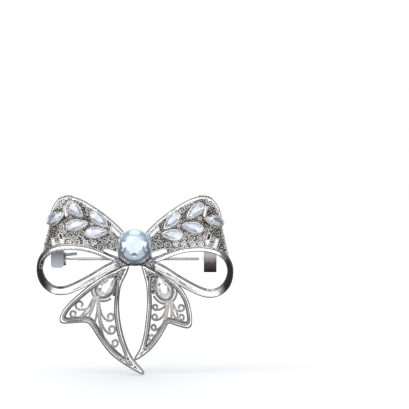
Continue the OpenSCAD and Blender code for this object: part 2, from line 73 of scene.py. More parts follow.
SHEET_MARGIN = 1.5       # how far the grid runs past the sheet
GRID_STEP = 0.1          # grid of the places that have metal
EYE_HEIGHT = 1.6         # panel openings lower than this are scroll eyes
END_SLOTS = 21.5         # slots further out than this have beads inside
KNOT_END = -6.5          # a tail frame is grained above this height
GRAIN_SEED = 3
AIM = (0, 0, -0.007)     # where the lights point, in metres
FRAME_WIDTH = 0.1127     # what the picture shows at the brooch from side to side, in metres
SHIFT_RIGHT = 0.0192     # how far the camera stands right of the brooch's middle, in metres
SHIFT_UP = 0.0223        # and how far above it
LENS = 180               # focal length
FILM_WIDTH = 36          # of the camera's sensor, in the same unit as the lens
BODY = {n: b for b, ns in frame["record"]["behaviour"]["bodies"].items() for n in ns}
SIDES = ("left", "right")


# ---------------------------------------------------------------- reading the frame

def points_of(node):
    """A CAD node's vertices, in millimetres."""
    data = frame["nodes"][node].data
    co = np.zeros(len(data.vertices) * 3)
    data.vertices.foreach_get("co", co)
    return co.reshape(-1, 3) / MM


def welded(node):
    """A CAD node's mesh with its split corners joined, in millimetres."""
    bm = bmesh.new()
    bm.from_mesh(frame["nodes"][node].data)
    bmesh.ops.scale(bm, vec=(1 / MM,) * 3, verts=bm.verts)
    bmesh.ops.remove_doubles(bm, verts=bm.verts, dist=0.002)
    bm.normal_update()
    return bm


def rims(node, front=True):
    """Closed outlines of a CAD sheet's front or back face, as arrays of points, longest first."""
    bm = welded(node)
    bm.faces.ensure_lookup_table()
    limit = math.radians(FOLD)
    group = {}
    for start in bm.faces:
        if start.index in group:
            continue
        group[start.index], queue = start.index, [start]
        while queue:
            for e in queue.pop().edges:
                if len(e.link_faces) == 2 and e.calc_face_angle(0) < limit:
                    for f in e.link_faces:
                        if f.index not in group:
                            group[f.index] = start.index
                            queue.append(f)
    total = {}
    for f in bm.faces:
        g = group[f.index]
        total[g] = total.get(g, 0) + f.calc_area() * f.normal[1]
    best = (min if front else max)(total, key=lambda g: total[g])
    links = {}
    for e in bm.edges:
        if [group[f.index] for f in e.link_faces].count(best) == 1:
            for a, b in (e.verts, reversed(e.verts)):
                links.setdefault(a.index, []).append(b.index)
    bm.verts.ensure_lookup_table()
    seen, found = set(), []
    for first in sorted(links):
        line, at = [], first
        while at is not None and at not in seen:
            seen.add(at)
            line.append(at)
            at = next((i for i in links[at] if i not in seen), None)
        p = np.array([bm.verts[i].co[:] for i in line])
        if len(p) > 3 and length(p) > SHORTEST_RIM:
            found.append(p)
    bm.free()
    return sorted(found, key=lambda p: -length(p))


def length(p):
    """Length along a line of points."""
    return np.linalg.norm(np.diff(p, axis=0), axis=1).sum()


class Sheet:
    """Depth of the middle of a CAD sheet, over x and z, fitted to its own vertices."""

    def __init__(self, node, flat=False):
        p = points_of(node)
        self.flat = flat
        if flat:
            a = np.c_[np.ones(len(p)), p[:, 0], p[:, 2]]
            self.c = np.linalg.lstsq(a, p[:, 1], rcond=None)[0]
            return
        self.lo = p.min(0)[[0, 2]] - SHEET_MARGIN
        n = np.ceil((p.max(0)[[0, 2]] + SHEET_MARGIN - self.lo) / SHEET_STEP).astype(int) + 1
        self.y = np.zeros(n)
        for i in range(n[0]):
            for j in range(n[1]):
                x, z = self.lo + SHEET_STEP * np.array([i, j])
                dx, dz = p[:, 0] - x, p[:, 2] - z
                w = np.exp(-(dx * dx + dz * dz) / (2 * SHEET_REACH ** 2)) + 1e-7
                a = np.c_[np.ones(len(p)), dx, dz]
                m = (a * w[:, None]).T @ a + np.diag([0, 1e-4, 1e-4])
                self.y[i, j] = np.linalg.solve(m, (a * w[:, None]).T @ p[:, 1])[0]

    def depth(self, xz):
        """Depth of the sheet at places seen from the front."""
        xz = np.atleast_2d(xz)
        if self.flat:
            return self.c[0] + xz @ self.c[1:]
        g = (xz - self.lo) / SHEET_STEP
        i = np.clip(g.astype(int), 0, np.array(self.y.shape) - 2)
        f = np.clip(g - i, 0, 1)
        y, (a, b) = self.y, (i[:, 0], i[:, 1])
        return ((y[a, b] * (1 - f[:, 0]) + y[a + 1, b] * f[:, 0]) * (1 - f[:, 1])
                + (y[a, b + 1] * (1 - f[:, 0]) + y[a + 1, b + 1] * f[:, 0]) * f[:, 1])

    def lay(self, xz, lift=0.0):
        """Points and front normals at places seen from the front."""
        xz = np.atleast_2d(xz).astype(float)
        d = 0.3
        n = np.c_[
            (self.depth(xz + [d, 0]) - self.depth(xz - [d, 0])) / (2 * d),
            -np.ones(len(xz)),
            (self.depth(xz + [0, d]) - self.depth(xz - [0, d])) / (2 * d)]
        n /= np.linalg.norm(n, axis=1)[:, None]
        return np.c_[xz[:, 0], self.depth(xz), xz[:, 1]] + n * lift, n


def stone_frame(node):
    """A stone's middle, point, side and table directions, length, width and crown height."""
    bm = welded(node)
    total = {}
    for f in bm.faces:
        key = tuple(round(v, 2) for v in f.normal)
        total[key] = total.get(key, 0) + f.calc_area()
    table = max((k for k in total if k[1] < -0.3), key=lambda k: total[k])
    bm.free()
    n = np.array(table) / np.linalg.norm(table)
    p = points_of(node)
    flat = p - np.outer(p @ n, n)
    c = flat.mean(0)
    axis = np.linalg.svd(flat - c, full_matrices=False)[2][0]
    along, across = (p - c) @ axis, (p - c) @ np.cross(n, axis)
    mid = (along.max() + along.min()) / 2
    if np.abs(across[along > mid + 1]).mean() > np.abs(across[along < mid - 1]).mean():
        axis, along, mid = -axis, -along, -mid
    side = np.cross(n, axis)
    across = (p - c) @ side
    wide = np.abs(across) > 0.97 * np.abs(across).max()
    girdle = ((p @ n)[wide]).mean()
    middle = c - n * (c @ n) + axis * mid + n * girdle
    return middle, axis, side, n, np.ptp(along), np.ptp(across), (p @ n).max() - girdle


# ---------------------------------------------------------------- mesh building

class Build:
    """Collects vertices and faces, in millimetres, into one mesh piece."""

    def __init__(self):
        self.v, self.q, self.t, self.n = [], [], [], 0

    def add(self, v, quads=None, tris=None):
        """Takes in vertices, with faces that count from the first of them."""
        if quads is not None and len(quads):
            self.q.append(np.asarray(quads) + self.n)
        if tris is not None and len(tris):
            self.t.append(np.asarray(tris) + self.n)
        self.v.append(np.asarray(v, float))
        self.n += len(v)

    def piece(self, name, node, material):
        """Makes the mesh object, riding on the node's body and in its material slot."""
        q = np.vstack(self.q) if self.q else np.zeros((0, 4), int)
        t = np.vstack(self.t) if self.t else np.zeros((0, 3), int)
        me = bpy.data.meshes.new(name)
        me.vertices.add(self.n)
        me.vertices.foreach_set("co", (np.vstack(self.v) * MM).astype(np.float32).ravel())
        loops = np.concatenate([q.ravel(), t.ravel()]).astype(np.int32)
        me.loops.add(len(loops))
        me.loops.foreach_set("vertex_index", loops)
        starts = np.concatenate([np.arange(len(q)) * 4, len(q) * 4 + np.arange(len(t)) * 3])
        me.polygons.add(len(starts))
        me.polygons.foreach_set("loop_start", starts.astype(np.int32))
        me.update(calc_edges=True)
        me.validate()
        me.polygons.foreach_set("use_smooth", np.full(len(me.polygons), True))
        me.materials.append(material)
        o = bpy.data.objects.new(name, me)
        bpy.context.scene.collection.objects.link(o)
        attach(o, BODY[node])
        return o


def spline(p, step):
    """Smooth open line through points, cut into even steps."""
    p = np.asarray(p, float)
    n = len(p)
    out = []
    for i in range(n - 1):
        a, b, c, d = p[max(i - 1, 0)], p[i], p[i + 1], p[min(i + 2, n - 1)]
        t = np.linspace(0, 1, 12, endpoint=False)[:, None]
        out.append(0.5 * (2 * b + (c - a) * t + (2 * a - 5 * b + 4 * c - d) * t ** 2
                          + (3 * b - a - 3 * c + d) * t ** 3))
    return even(np.vstack(out + [p[-1:]]), step)


def even(p, step, closed=False):
    """The same line with its points about a step apart."""
    q = np.vstack([p, p[:1]]) if closed else p
    s = np.r_[0, np.cumsum(np.linalg.norm(np.diff(q, axis=0), axis=1))]
    count = max(int(round(s[-1] / step)), 3)
    at = np.linspace(0, s[-1], count + (0 if closed else 1), endpoint=not closed)
    return np.c_[tuple(np.interp(at, s, q[:, k]) for k in range(q.shape[1]))]


def tangents(p, closed):
    """Unit direction of a line at each of its points."""
    t = (np.roll(p, -1, 0) - np.roll(p, 1, 0)) if closed else np.gradient(p, axis=0)
    return t / np.maximum(np.linalg.norm(t, axis=1), 1e-9)[:, None]


def sweep(b, p, n, profile, closed=False, twist=0.0, scale=None):
    """Sweeps a closed profile (side, normal) along p. twist is in turns a millimetre."""
    t = tangents(p, closed)
    side = np.cross(t, n)
    side /= np.maximum(np.linalg.norm(side, axis=1), 1e-9)[:, None]
    up = np.cross(side, t)
    m, k = len(p), len(profile)
    run = np.r_[0, np.cumsum(np.linalg.norm(np.diff(p, axis=0), axis=1))]
    if closed and twist:
        turns = max(round(twist * run[-1]), 1)
        ang = 2 * math.pi * turns * np.arange(m) / m
    else:
        ang = 2 * math.pi * twist * run
    size = np.ones(m) if scale is None else scale
    u, w = profile[:, 0], profile[:, 1]
    uu = (np.outer(np.cos(ang), u) - np.outer(np.sin(ang), w)) * size[:, None]
    ww = (np.outer(np.sin(ang), u) + np.outer(np.cos(ang), w)) * size[:, None]
    v = p[:, None] + side[:, None] * uu[..., None] + up[:, None] * ww[..., None]
    rows = m if closed else m - 1
    i, j = np.meshgrid(np.arange(rows), np.arange(k), indexing="ij")
    i2, j2 = (i + 1) % m, (j + 1) % k
    quads = np.stack([i * k + j, i * k + j2, i2 * k + j2, i2 * k + j], -1).reshape(-1, 4)
    v = v.reshape(-1, 3)
    tris = []
    if not closed:
        v = np.vstack([v, p[:1], p[-1:]])
        a, z = m * k, m * k + 1
        for j in range(k):
            tris += [[a, (j + 1) % k, j], [z, (m - 1) * k + j, (m - 1) * k + (j + 1) % k]]
    b.add(v, quads, tris)


def ring_profile(r, n=8):
    """Round section of a plain wire."""
    a = 2 * math.pi * np.arange(n) / n
    return np.c_[np.cos(a), np.sin(a)] * r


def rope_profile(r):
    """Section of two wires twisted together."""
    a = 2 * math.pi * np.arange(10) / 10
    k = r * (1 + 0.28 * np.cos(2 * a)) / 1.28
    return np.c_[np.cos(a) * k, np.sin(a) * k]


def strip_profile(w, h, e=0.08):
    """Flat section w wide and h high, its corners cut by e."""
    x, y = w / 2, h / 2
    return np.array([(x, -y + e), (x, y - e), (x - e, y), (-x + e, y),
                     (-x, y - e), (-x, -y + e), (-x + e, -y), (x - e, -y)])


def rope(b, p, n, r):
    """Twisted wire along a closed line."""
    sweep(b, p, n, rope_profile(r), True, twist=0.85)


BALL = bmesh.new()
bmesh.ops.create_icosphere(BALL, subdivisions=1, radius=1)
BALL_V = np.array([v.co[:] for v in BALL.verts])
BALL_F = np.array([[v.index for v in f.verts] for f in BALL.faces])
BALL.free()


def beads(b, centres, r):
    """A small ball at each centre."""
    centres = np.atleast_2d(centres)
    r = np.broadcast_to(r, (len(centres),))
    v = centres[:, None] + BALL_V[None] * r[:, None, None]
    f = BALL_F[None] + (np.arange(len(centres)) * len(BALL_V))[:, None, None]
    b.add(v.reshape(-1, 3), tris=f.reshape(-1, 3))


def bead_row(b, p, n, r, pitch, closed=False, lift=0.0):
    """Balls a pitch apart along a line, raised by lift along its normals."""
    s = even(np.c_[p, n], pitch, closed)
    beads(b, s[:, :3] + s[:, 3:6] * lift, r)


# ---------------------------------------------------------------- materials

def shader(name):
    """A new material with its nodes, links and main shader."""
    m = bpy.data.materials.new(name)
    m.use_nodes = True
    return m, m.node_tree.nodes, m.node_tree.links, m.node_tree.nodes["Principled BSDF"]


def noise(nodes, links, scale, detail=4.0):
    """Noise over the piece's own coordinates."""
    at = nodes.new("ShaderNodeTexCoord")
    tex = nodes.new("ShaderNodeTexNoise")
    tex.inputs["Scale"].default_value = scale
    tex.inputs["Detail"].default_value = detail
    links.new(at.outputs["Object"], tex.inputs["Vector"])
    return tex


def ramp(nodes, links, source, stops):
    """Turns a value into colours, given as stops of place and colour."""
    r = nodes.new("ShaderNodeValToRGB")
    for i, (at, colour) in enumerate(stops):
        e = r.color_ramp.elements[i] if i < 2 else r.color_ramp.elements.new(at)
        e.position, e.color = at, (*colour, 1)
    links.new(source, r.inputs["Fac"])
    return r


def metal(name, light, dark, rough, rough_to, stretch=(1, 1, 1)):
    """Plated metal: slow tone drift, fine rubbed patches in the gloss, and hairline bump."""
    m, nodes, links, p = shader(name)
    p.inputs["Metallic"].default_value = 1
    tone = noise(nodes, links, 225)
    links.new(ramp(nodes, links, tone.outputs["Fac"],
                   [(0.3, dark), (0.7, light)]).outputs["Color"], p.inputs["Base Color"])
    at = nodes.new("ShaderNodeTexCoord")
    way = nodes.new("ShaderNodeMapping")
    way.inputs["Scale"].default_value = stretch
    links.new(at.outputs["Object"], way.inputs["Vector"])
    fine = nodes.new("ShaderNodeTexNoise")
    fine.inputs["Scale"].default_value = 2700
    fine.inputs["Detail"].default_value = 6
    links.new(way.outputs["Vector"], fine.inputs["Vector"])
    gloss = nodes.new("ShaderNodeMapRange")
    gloss.inputs["To Min"].default_value = rough
    gloss.inputs["To Max"].default_value = rough_to
    links.new(fine.outputs["Fac"], gloss.inputs["Value"])
    links.new(gloss.outputs["Result"], p.inputs["Roughness"])
    b = nodes.new("ShaderNodeBump")
    b.inputs["Strength"].default_value = 0.02
    b.inputs["Distance"].default_value = 0.00002
    links.new(fine.outputs["Fac"], b.inputs["Height"])
    links.new(b.outputs["Normal"], p.inputs["Normal"])
    return m


def facing_back(nodes, links):
    """1 on faces turned to the back of the brooch, 0 on those turned to the front."""
    at = nodes.new("ShaderNodeTexCoord")
    split = nodes.new("ShaderNodeSeparateXYZ")
    links.new(at.outputs["Normal"], split.inputs["Vector"])
    step = nodes.new("ShaderNodeMapRange")
    step.inputs["From Min"].default_value = 0.0
    step.inputs["From Max"].default_value = 0.35
    links.new(split.outputs["Y"], step.inputs["Value"])
    return step.outputs["Result"]


def painted_light_behind(m, colour):
    """Mixes a lighter tone in on the faces turned to the back, so the shade or reflection painted
    dark on the front stays off the back.
    """
    nodes, links = m.node_tree.nodes, m.node_tree.links
    p = nodes["Principled BSDF"]
    front = p.inputs["Base Color"].links[0].from_socket
    mix = nodes.new("ShaderNodeMix")
    mix.data_type = "RGBA"
    mix.inputs["B"].default_value = (*colour, 1)
    links.new(front, mix.inputs["A"])
    # painted light: faces turned to the back take the lighter tone
    links.new(facing_back(nodes, links), mix.inputs["Factor"])
    links.new(mix.outputs["Result"], p.inputs["Base Color"])
    return m


def painted_reflection_plate(name, foot, middle, top):
    """Dull plate metal with a painted reflection: its tone is ramped from foot through middle to
    top and blotched by noise.
    """
    m = metal(name, middle, middle, 0.26, 0.42)
    nodes, links = m.node_tree.nodes, m.node_tree.links
    p = nodes["Principled BSDF"]
    at = nodes.new("ShaderNodeTexCoord")
    split = nodes.new("ShaderNodeSeparateXYZ")
    links.new(at.outputs["Generated"], split.inputs["Vector"])
    # noise that blotches the edge of the painted reflection
    shade_blotch = noise(nodes, links, 700)
    mix = nodes.new("ShaderNodeMath")
    mix.operation = "MULTIPLY_ADD"
    mix.inputs[1].default_value = 0.25
    links.new(shade_blotch.outputs["Fac"], mix.inputs[0])
    links.new(split.outputs["Z"], mix.inputs[2])
    links.new(ramp(nodes, links, mix.outputs["Value"], [
        (0.12, foot), (0.55, middle), (0.95, top)]).outputs["Color"], p.inputs["Base Color"])
    return m


def nacre():
    """Grey-blue pearl skin with a clouded tone under a smooth coat."""
    m, nodes, links, p = shader("nacre")
    cloud = noise(nodes, links, 260, 3)
    links.new(ramp(nodes, links, cloud.outputs["Fac"], [
        (0.32, (0.54, 0.63, 0.71)), (0.52, (0.61, 0.69, 0.76)), (0.72, (0.68, 0.74, 0.78))
    ]).outputs["Color"], p.inputs["Base Color"])
    p.inputs["Metallic"].default_value = 0.75
    p.inputs["Roughness"].default_value = 0.17
    p.inputs["Coat Weight"].default_value = 1
    p.inputs["Coat Roughness"].default_value = 0.10
    p.inputs["Coat IOR"].default_value = 1.7
    p.inputs["Coat Tint"].default_value = (0.93, 0.96, 1, 1)
    fine = noise(nodes, links, 2600, 5)
    b = nodes.new("ShaderNodeBump")
    b.inputs["Strength"].default_value = 0.05
    b.inputs["Distance"].default_value = 0.00002
    links.new(fine.outputs["Fac"], b.inputs["Height"])
    links.new(b.outputs["Normal"], p.inputs["Normal"])
    return m


def crystal(name, cool, light):
    """Foiled crystal: half mirror, half clear, with a cool tone in patches."""
    m, nodes, links, p = shader(name)
    cloud = noise(nodes, links, 500, 2)
    links.new(ramp(nodes, links, cloud.outputs["Fac"], [
        (0.35, cool), (0.65, light)]).outputs["Color"],
        p.inputs["Base Color"])
    p.inputs["Roughness"].default_value = 0.02
    p.inputs["IOR"].default_value = 2.1
    p.inputs["Metallic"].default_value = 0.5
    p.inputs["Transmission Weight"].default_value = 0.55
    return m


def painted_reflection_ends(name, near, far):
    """Polished silver whose tone falls away between two distances from the middle: a painted dark
    reflection, streaked by noise.
    """
    m = metal(name, (0.9, 0.9, 0.92), (0.84, 0.84, 0.86), 0.04, 0.10)
    nodes, links = m.node_tree.nodes, m.node_tree.links
    p = nodes["Principled BSDF"]
    at = nodes.new("ShaderNodeTexCoord")
    split = nodes.new("ShaderNodeSeparateXYZ")
    links.new(at.outputs["Object"], split.inputs["Vector"])
    side = nodes.new("ShaderNodeMath")
    side.operation = "ABSOLUTE"
    links.new(split.outputs["X"], side.inputs[0])
    fall = nodes.new("ShaderNodeMapRange")
    fall.inputs["From Min"].default_value = near * MM
    fall.inputs["From Max"].default_value = far * MM
    links.new(side.outputs["Value"], fall.inputs["Value"])
    # noise streaks in the painted dark reflection
    streak = noise(nodes, links, 420, 2)
    sway = nodes.new("ShaderNodeMath")
    sway.operation = "MULTIPLY_ADD"
    sway.inputs[1].default_value = 0.5
    links.new(streak.outputs["Fac"], sway.inputs[0])
    links.new(fall.outputs["Result"], sway.inputs[2])
    links.new(ramp(nodes, links, sway.outputs["Value"], [
        (0.30, (0.88, 0.88, 0.90)), (0.62, (0.22, 0.22, 0.23)), (0.95, (0.02, 0.02, 0.022))
    ]).outputs["Color"], p.inputs["Base Color"])
    return m


def painted_shade_silver(name, behind):
    """Silver painted dark as the shade in hollows, in gaps and under beads, with a lighter tone
    on its back.
    """
    m = metal(name, (0.10, 0.095, 0.09), (0.04, 0.038, 0.036), 0.30, 0.50)
    return painted_light_behind(m, behind)


def ring_painted_reflection():
    """Silver of the lower rings, with a painted dark reflection at their outer ends in front."""
    outer = abs(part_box("left_lower_ring")[0][0]) / MM
    m = painted_reflection_ends("ring_painted_reflection", outer - 5.0, outer - 0.6)
    return painted_light_behind(m, (0.66, 0.66, 0.68))


POLISH = metal("polished_silver", (0.90, 0.90, 0.92), (0.84, 0.84, 0.86), 0.04, 0.10)
BEADED = metal("beaded_silver", (0.85, 0.83, 0.81), (0.56, 0.54, 0.52), 0.20, 0.36)
# painted shade: dark silver for hollows, grain beds and the shadow under the pearl
PAINTED_SHADE = painted_shade_silver("recess_painted_shade", (0.30, 0.29, 0.29))
# painted shade: dark wire under the tails' bead rows
STRAND_PAINTED_SHADE = painted_shade_silver("strand_painted_shade", (0.66, 0.65, 0.65))
SATIN = metal("satin_silver", (0.44, 0.45, 0.48), (0.30, 0.31, 0.34), 0.24, 0.40)
# painted reflection: the hinge box goes black towards its foot
BOX = painted_reflection_plate("box_painted_reflection", (0.008, 0.006, 0.006), (0.07, 0.055, 0.055), (0.36, 0.36, 0.38))
# painted reflection: the catch plate darkens towards its top
PLATE = painted_reflection_plate("plate_painted_reflection", (0.34, 0.36, 0.41), (0.26, 0.27, 0.30), (0.14, 0.14, 0.15))
# painted shade: dark metal for edge lines and rolled edges where shade falls
SHADE = metal("shaded_edge", (0.24, 0.24, 0.25), (0.12, 0.12, 0.13), 0.16, 0.30)
SCROLL = metal("scroll_silver", (0.86, 0.85, 0.83), (0.64, 0.63, 0.60), 0.10, 0.22)
WIRE = metal("drawn_wire", (0.78, 0.78, 0.80), (0.66, 0.66, 0.68), 0.10, 0.22,
             stretch=(0.05, 1, 1))
NACRE = nacre()
CRYSTAL = crystal("crystal", (0.62, 0.68, 0.79), (0.86, 0.88, 0.93))
CLEAR = crystal("clear_crystal", (0.94, 0.96, 1.0), (1.0, 1.0, 1.0))
# painted reflection: lower rings dark at their outer ends in front
RING = ring_painted_reflection()


def dress(node, material, edge=0.0, segments=3, rolled=None):
    """Gives a CAD node that is kept its material, and rolls its edges in another if given."""
    o = frame["nodes"][node]
    o.data.materials.clear()
    o.data.materials.append(material)
    if edge:
        w = o.modifiers.new("weld", "WELD")
        w.merge_threshold = 0.000002
        r = o.modifiers.new("edges", "BEVEL")
        r.width, r.segments, r.limit_method = edge * MM, segments, "ANGLE"
        r.angle_limit = math.radians(38)
        r.harden_normals = True
        if rolled:
            o.data.materials.append(rolled)
            r.material = 1


# ---------------------------------------------------------------- pearl

def pearl_ball():
    """Middle and radius of the pearl, in millimetres."""
    lo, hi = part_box("pearl")
    return np.array((lo + hi) / 2) / MM, (hi - lo)[0] / 2 / MM


def make_pearl():
    """Fine ball of nacre in place of the CAD pearl."""
    c, r = pearl_ball()
    rings, around = 72, 144
    lat = np.linspace(0, math.pi, rings + 1)[1:-1]
    lon = 2 * math.pi * np.arange(around) / around
    v = np.array([(math.sin(a) * math.cos(o), math.sin(a) * math.sin(o), math.cos(a))
                  for a in lat for o in lon])
    k = around
    i, j = np.meshgrid(np.arange(len(lat) - 1), np.arange(k), indexing="ij")
    quads = np.stack([i * k + j, (i + 1) * k + j, (i + 1) * k + (j + 1) % k,
                      i * k + (j + 1) % k], -1).reshape(-1, 4)
    v = np.vstack([v, [(0, 0, 1), (0, 0, -1)]])
    top, foot, last = len(lat) * k, len(lat) * k + 1, (len(lat) - 1) * k
    tris = [[top, j, (j + 1) % k] for j in range(k)]
    tris += [[foot, last + (j + 1) % k, last + j] for j in range(k)]
    b = Build()
    b.add(v * (r * 0.999) + c, quads, tris)
    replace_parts(b.piece("pearl_nacre", "pearl", NACRE), "pearl")


def make_pearl_shadow():
    """Dark crescent beneath the pearl, riding with the cup: a painted shadow of the pearl."""
    c, r = pearl_ball()
    a = np.radians(np.linspace(205, 335, 90))
    line = c + np.c_[np.cos(a), np.full(90, 0.18), np.sin(a)] * (r + 0.12)
    b = Build()
    thick = np.interp(np.degrees(a), [205, 228, 270, 312, 335], [0.15, 1.25, 0.8, 1.25, 0.15])
    # painted shadow: thickest at the sides, like the shadow under the pearl
    sweep(b, line, np.repeat([[0, -1, 0]], 90, 0), ring_profile(0.28, 10), scale=thick)
    b.piece("pearl_cup_shadow", "pearl_cup", PAINTED_SHADE)


# ---------------------------------------------------------------- stones

def pear(l, w, n, grow=0.0):
    """Pear outline with its point on +X, moved outwards by grow."""
    a = 2 * math.pi * np.arange(n) / n
    x = l / 2 * np.cos(a)
    y = w / 2 * 1.09 * np.sin(a) * np.abs(np.sin(a / 2)) ** 0.75
    p = np.c_[x, y]
    if grow:
        t = np.roll(p, -1, 0) - np.roll(p, 1, 0)
        out = np.c_[t[:, 1], -t[:, 0]]
        p = p + out / np.maximum(np.linalg.norm(out, axis=1), 1e-9)[:, None] * grow
    return p


def cut_stone(name, node, material):
    """Pear brilliant: table, stars, kites, girdle facets and pavilion mains."""
    mid, axis, side, n, l, w, crown = stone_frame(node)
    rows = [(8, 0.5, 0.56, crown), (8, 0.0, 0.80, crown * 0.56), (16, 0.0, 1.0, 0.06),
            (16, 0.0, 1.0, -0.06), (8, 0.5, 0.62, -0.62), (8, 0.0, 0.34, -1.02)]
    bm = bmesh.new()
    for count, turn, size, h in rows:
        full = pear(l * size, w * size, count * 24)
        for k in range(count):
            x, y = full[int((k + turn) * 24) % (count * 24)]
            bm.verts.new(mid + axis * x + side * y + n * h)
    bm.verts.new(mid + axis * l * 0.02 - n * 1.4)
    bmesh.ops.convex_hull(bm, input=bm.verts)
    bmesh.ops.delete(bm, geom=[v for v in bm.verts if not v.link_faces], context="VERTS")
    bmesh.ops.dissolve_limit(bm, angle_limit=0.01, verts=bm.verts, edges=bm.edges)
    bmesh.ops.scale(bm, vec=(MM,) * 3, verts=bm.verts)
    me = bpy.data.meshes.new(name)
    bm.to_mesh(me)
    bm.free()
    me.materials.append(material)
    o = bpy.data.objects.new(name, me)
    bpy.context.scene.collection.objects.link(o)
    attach(o, BODY[node])
    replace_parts(o, node)


def make_setting(name, node, stone):
    """Collet with a beaded foot, a thin bright rim and five claws."""
    mid, axis, side, n, l, w, _ = stone_frame(stone)
    lo = (points_of(node) @ n).min() - mid @ n
    b = Build()

    def loop(grow, h, count=72):
        p = pear(l, w, count, grow)
        return mid + p[:, :1] * axis + p[:, 1:] * side + n * h

    def up(p):
        return np.repeat(n[None], len(p), 0)

    wall = loop(0.10, (lo + 0.1) / 2)
    sweep(b, wall, up(wall), strip_profile(0.2, 0.1 - lo, 0.04), True)
    rim = loop(0.13, 0.12)
    sweep(b, rim, up(rim), ring_profile(0.11), True)
    foot = loop(0.30, max(lo + 0.22, -0.85))
    bead_row(b, foot, up(foot), 0.17, 0.36, True)
    for a in (0, 68, 130, 230, 292):
        p = pear(l, w, 360, 0.06)[a]
        base = mid + axis * p[0] + side * p[1]
        inward = -(axis * p[0] + side * p[1])
        inward /= np.linalg.norm(inward)
        line = spline([base + n * -0.35 - inward * 0.16, base + n * 0.15 - inward * 0.12,
                       base + n * 0.42 + inward * 0.14, base + n * 0.50 + inward * 0.34], 0.06)
        sweep(b, line, np.repeat(side[None], len(line), 0), ring_profile(0.17, 8),
              scale=np.linspace(1.1, 0.7, len(line)))
        beads(b, line[-1:], 0.15)
    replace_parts(b.piece(name, node, SCROLL), node)


# ---------------------------------------------------------------- filigree panels

def covered(node):
    """Where a CAD sheet has metal, seen from the front: a grid of true and false."""
    bm = welded(node)
    bmesh.ops.triangulate(bm, faces=bm.faces)
    tri = np.array([[v.co[:] for v in f.verts] for f in bm.faces if f.normal[1] < -0.05])
    bm.free()
    tri = tri[:, :, [0, 2]]
    lo = tri.min((0, 1)) - 0.5
    size = np.ceil((tri.max((0, 1)) + 0.5 - lo) / GRID_STEP).astype(int)
    grid = np.zeros(size, bool)
    for t in tri:
        i0 = np.maximum(((t.min(0) - lo) / GRID_STEP).astype(int), 0)
        i1 = np.minimum(((t.max(0) - lo) / GRID_STEP).astype(int) + 2, size)
        gx, gz = np.meshgrid(np.arange(i0[0], i1[0]), np.arange(i0[1], i1[1]), indexing="ij")
        px = lo + GRID_STEP * (np.stack([gx, gz], -1) + 0.5)
        e = [(t[(k + 1) % 3] - t[k]) for k in range(3)]
        s = [e[k][0] * (px[..., 1] - t[k][1]) - e[k][1] * (px[..., 0] - t[k][0])
             for k in range(3)]
        inside = ((s[0] >= -1e-9) & (s[1] >= -1e-9) & (s[2] >= -1e-9)) | \
                 ((s[0] <= 1e-9) & (s[1] <= 1e-9) & (s[2] <= 1e-9))
        grid[i0[0]:i1[0], i0[1]:i1[1]] |= inside
    return grid, lo


def room(grid):
    """Distance to the nearest place without metal, by repeated shrinking."""
    far = np.zeros(grid.shape)
    now, k = grid.copy(), 0
    while now.any() and k < 20:
        k += 1
        far[now] = k * GRID_STEP
        nxt = now.copy()
        nxt[1:] &= now[:-1]
        nxt[:-1] &= now[1:]
        nxt[:, 1:] &= now[:, :-1]
        nxt[:, :-1] &= now[:, 1:]
        if k % 2:
            nxt[1:, 1:] &= now[:-1, :-1]
            nxt[:-1, :-1] &= now[1:, 1:]
            nxt[1:, :-1] &= now[:-1, 1:]
            nxt[:-1, 1:] &= now[1:, :-1]
        now = nxt
    return far


def granules(b, node, pitch, r, keep, lift):
    """Beads at least a pitch apart over the front of a CAD sheet, where keep() allows."""
    bm = welded(node)
    bmesh.ops.triangulate(bm, faces=bm.faces)
    tri = [([v.co[:] for v in f.verts], f.calc_area(), f.normal[:])
           for f in bm.faces if f.normal[1] < -0.06]
    bm.free()
    draw = np.random.default_rng(GRAIN_SEED)
    corner = np.array([t[0] for t in tri])
    area = np.array([t[1] for t in tri])
    normal = np.array([t[2] for t in tri])
    count = int(area.sum() / pitch ** 2 * 9)
    pick = draw.choice(len(tri), count, p=area / area.sum())
    u, v = draw.random((2, count))
    over = u + v > 1
    u[over], v[over] = 1 - u[over], 1 - v[over]
    c = corner[pick]
    p = c[:, 0] + (c[:, 1] - c[:, 0]) * u[:, None] + (c[:, 2] - c[:, 0]) * v[:, None]
    p += normal[pick] * lift
    p = p[keep(p)]
    cells, kept = {}, []
    for i, q in enumerate(p):
        home = tuple(np.floor(q / pitch).astype(int))
        near = (cells.get((home[0] + a, home[1] + e, home[2] + f), ())
                for a in (-1, 0, 1) for e in (-1, 0, 1) for f in (-1, 0, 1))
        if all(np.sum((p[j] - q) ** 2) > pitch ** 2 for group in near for j in group):
            cells.setdefault(home, []).append(i)
            kept.append(i)
    size = r * draw.uniform(0.82, 1.12, len(kept))
    beads(b, p[kept], size)


def grained(light, dark, node, keep):
    """Bright grains on a bed of dark ones painted as the shade between them, for metal that is
    polished elsewhere.
    """
    granules(dark, node, 0.3, 0.27, keep, lift=-0.1)
    granules(light, node, 0.43, BEAD, keep, lift=0.1)


def packed_circles(grid, px, sizes, seed):
    """Circles that fill the metal of a sheet, biggest first: middles and radii."""
    draw = random.Random(seed)
    free = room(grid)
    found = []
    for size in sizes:
        spots = np.argwhere(free >= size * 0.98)
        order = list(range(len(spots)))
        draw.shuffle(order)
        for i in order:
            a, b = spots[i]
            if free[a, b] >= size * 0.98:
                c = px[a, b]
                found.append((c, size, draw.uniform(0, 2 * math.pi)))
                free = np.minimum(free, np.maximum(
                    np.linalg.norm(px - c, axis=-1) - size * 0.93, 0))
    return found


def circle(c, r, count):
    """Points round a place in the front view, at least twelve."""
    t = np.linspace(0, 2 * math.pi, max(count, 12), endpoint=False)
    return c + np.c_[np.cos(t), np.sin(t)] * r


